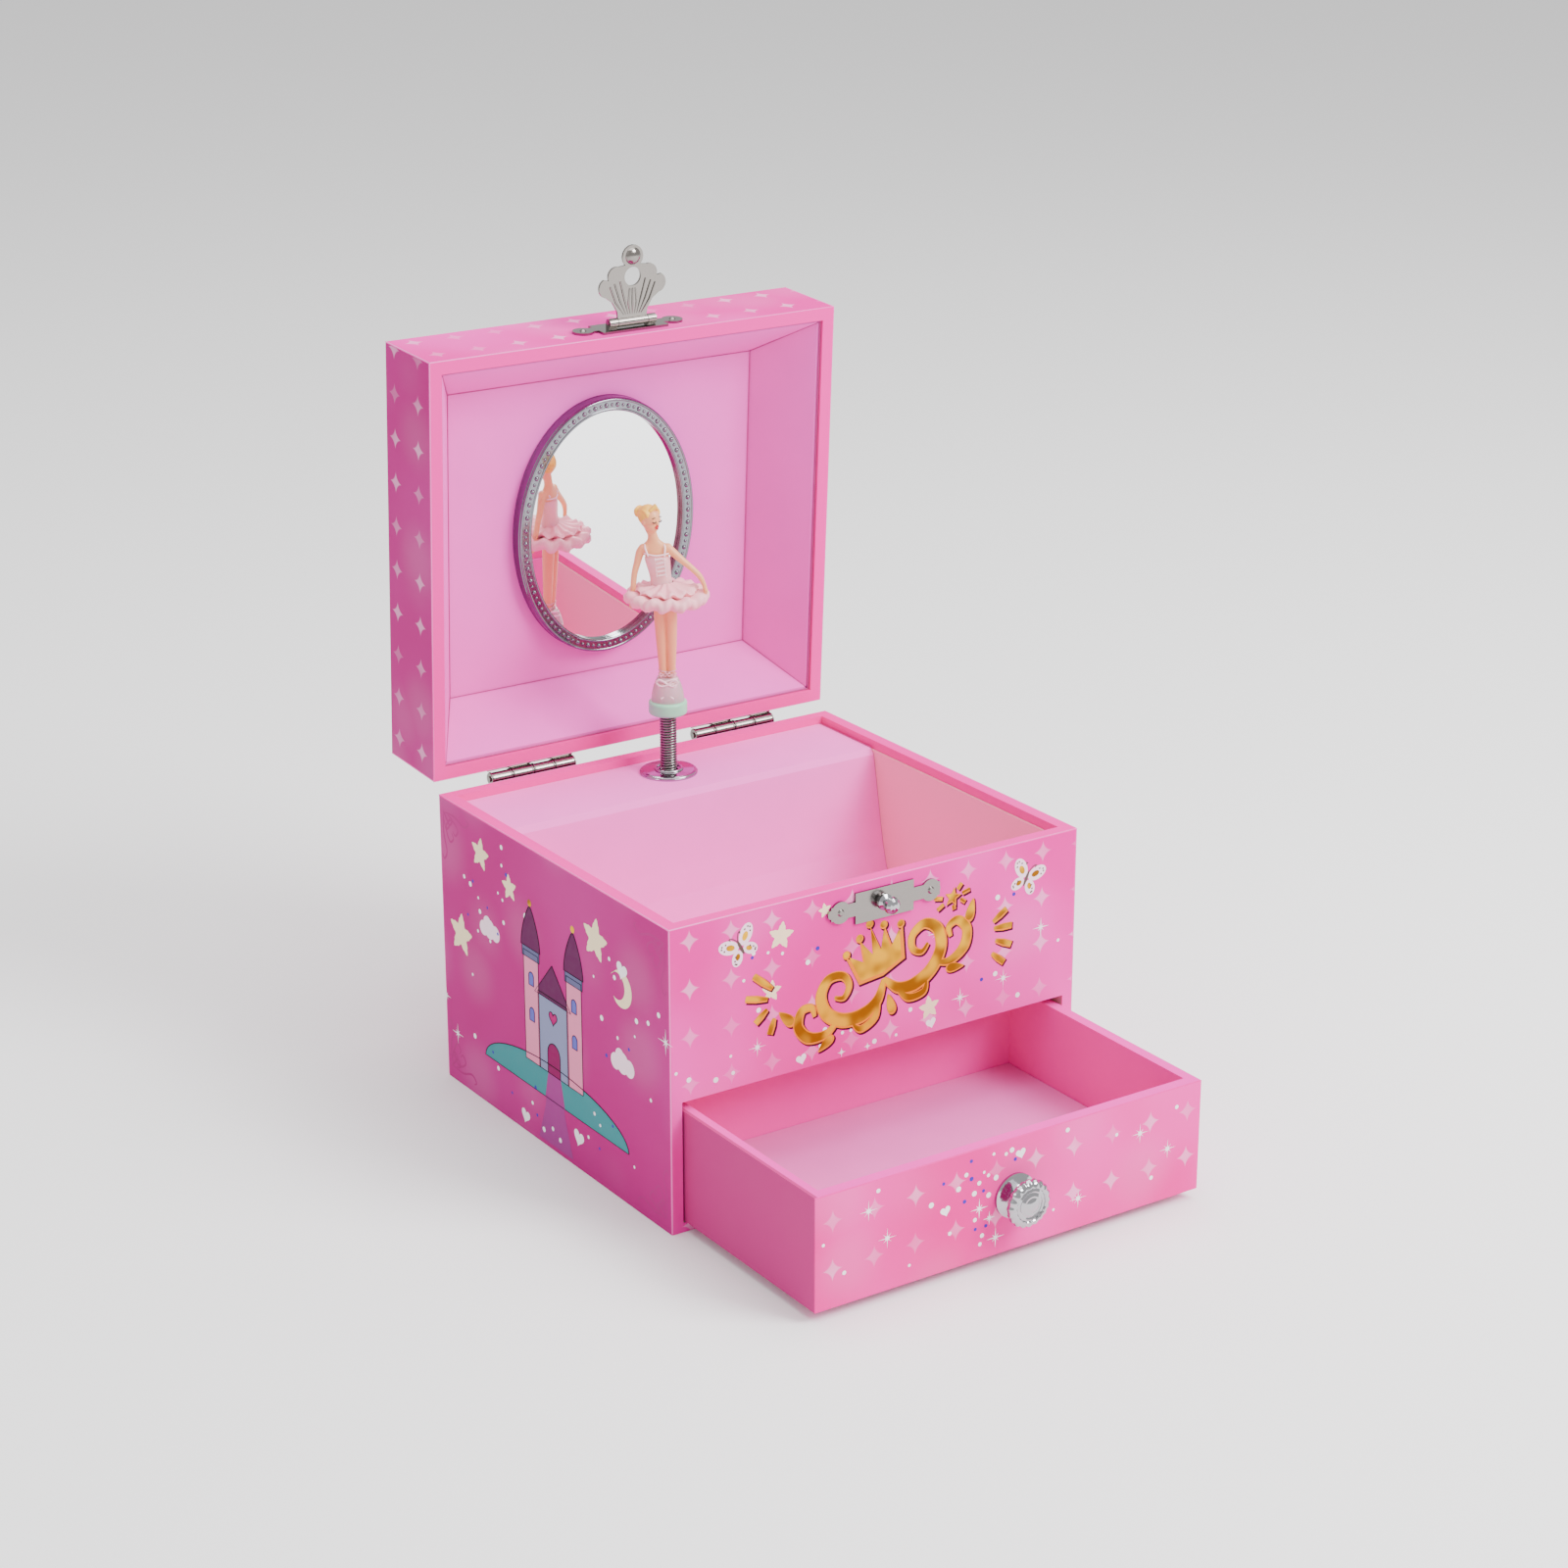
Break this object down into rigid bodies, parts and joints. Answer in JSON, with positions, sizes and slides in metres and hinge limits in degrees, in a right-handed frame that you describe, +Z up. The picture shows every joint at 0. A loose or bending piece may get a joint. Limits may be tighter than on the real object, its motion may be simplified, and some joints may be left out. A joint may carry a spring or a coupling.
{
  "type": "wind up music box",
  "caption": "Paper-covered jewellery box with mirror lid, tray, drawer and a key-wound movement turning a dancer on a coil spring.",
  "frame": {"origin": "middle of the case's underside", "axes": "+Z up, -Y towards the drawer front, +X to the right seen from the front"},
  "size_m": [0.15, 0.2474, 0.2664],
  "materials": {
    "printed_pink_paper": "satin printed paper",
    "board": "grey board",
    "lilac_paper": "matt lining paper",
    "hot_pink_paper": "satin paper",
    "floor_flock": "matt lining",
    "chrome_metal": "polished",
    "nickel_steel": "nickel plated",
    "chrome_plastic": "vacuum plated",
    "mirror_silver": "polished",
    "brass_metal": "satin",
    "movement_alloy": "zinc cast",
    "spring_steel": "polished",
    "mint_plastic": "satin",
    "rose_plastic": "frosted translucent",
    "skin_plastic": "painted",
    "tutu_plastic": "pearl",
    "white_plastic": "moulded"
  },
  "bodies": {
    "case": {"case_left_side": "board", "case_right_side": "board", "case_rear_wall": "board", "case_front_panel": "board", "case_bottom_panel": "board", "drawer_deck": "board", "bay_back_panel": "board", "case_wrap": "printed_pink_paper", "tray_lining": "lilac_paper", "tray_floor_lining": "lilac_paper", "shelf_panel": "lilac_paper", "spring_grommet": "chrome_metal", "lock_plate": "chrome_metal", "lock_stud": "chrome_metal", "case_nails": "nickel_steel", "hinge_case_leaves": "nickel_steel", "hinge_pins": "nickel_steel", "movement_base": "movement_alloy", "movement_screws": "nickel_steel", "spring_housing": "movement_alloy", "mainspring": "spring_steel", "comb": "spring_steel", "governor_bracket": "movement_alloy"},
    "lid": {"lid_top_panel": "board", "lid_side_walls": "board", "lid_front_wall": "board", "lid_rear_wall": "board", "lid_wrap": "printed_pink_paper", "lid_lining": "lilac_paper", "lid_lining_panel": "lilac_paper", "mirror_frame": "chrome_plastic", "mirror_glass": "mirror_silver", "hinge_lid_leaves": "nickel_steel", "hasp_plate": "chrome_metal", "hasp_pin": "nickel_steel", "lid_nails": "nickel_steel"},
    "hasp": {"hasp_leaf": "chrome_metal"},
    "drawer": {"drawer_front": "board", "drawer_front_wrap": "printed_pink_paper", "drawer_sides": "hot_pink_paper", "drawer_back": "hot_pink_paper", "drawer_bottom": "board", "drawer_floor": "floor_flock", "drawer_knob": "chrome_metal", "knob_screw": "nickel_steel"},
    "drive": {"winding_arbor": "nickel_steel", "winding_key": "chrome_metal", "great_wheel": "brass_metal"},
    "cylinder": {"cylinder_arbor": "nickel_steel", "lantern_pinion": "brass_metal", "music_cylinder": "brass_metal", "drive_gear": "brass_metal"},
    "governor": {"governor_wheel": "white_plastic"},
    "fan": {"governor_worm": "nickel_steel", "air_brake": "white_plastic"},
    "figure_tilt": {"figure_spring": "spring_steel"},
    "figure": {"stand_disc": "mint_plastic", "shoe_base": "rose_plastic", "ballerina": "skin_plastic", "tutu": "tutu_plastic"}
  },
  "joints": [
    {"name": "lid_hinge", "type": "hinge", "parent": "case", "child": "lid", "pos_m": [0, 0.072, 0.09815], "axis": [1, 0, 0], "range_deg": [0, 87]},
    {"name": "hasp_hinge", "type": "hinge", "parent": "lid", "child": "hasp", "pos_m": [0.001, 0.07093, 0.24189], "axis": [1, 0, 0], "range_deg": [-88, 90]},
    {"name": "drawer_slide", "type": "slide", "parent": "case", "child": "drawer", "axis": [0, 1, 0], "range_m": [-0.024, 0.0681]},
    {"name": "key_spin", "type": "hinge", "parent": "case", "child": "drive", "pos_m": [0.001, 0.07, 0.047], "axis": [0, 1, 0], "continuous": true},
    {"name": "cylinder_spin", "type": "hinge", "parent": "case", "child": "cylinder", "pos_m": [0.001, 0.052, 0.075], "axis": [0, 0, 1], "continuous": true},
    {"name": "governor_spin", "type": "hinge", "parent": "case", "child": "governor", "pos_m": [-0.0115, 0.052, 0.08], "axis": [0, 0, 1], "continuous": true},
    {"name": "fan_spin", "type": "hinge", "parent": "case", "child": "fan", "pos_m": [-0.018, 0.052, 0.0786], "axis": [0, 1, 0], "continuous": true},
    {"name": "figure_bend", "type": "hinge", "parent": "case", "child": "figure_tilt", "pos_m": [0.001, 0.052, 0.106], "axis": [1, 0, 0], "range_deg": [0, 97.5], "deforming": ["figure_spring"]},
    {"name": "figure_spin", "type": "hinge", "parent": "figure_tilt", "child": "figure", "pos_m": [0.001, 0.052, 0.118], "axis": [0, 0, 1], "continuous": true}
  ],
  "couplings": [
    {"joint": "cylinder_spin", "follows": "key_spin", "ratio": -2.5},
    {"joint": "governor_spin", "follows": "key_spin", "ratio": 10},
    {"joint": "fan_spin", "follows": "key_spin", "ratio": 80},
    {"joint": "figure_spin", "follows": "key_spin", "ratio": -2.5},
    {"joint": "figure_bend", "follows": "lid_hinge", "ratio": 1.115}
  ]
}
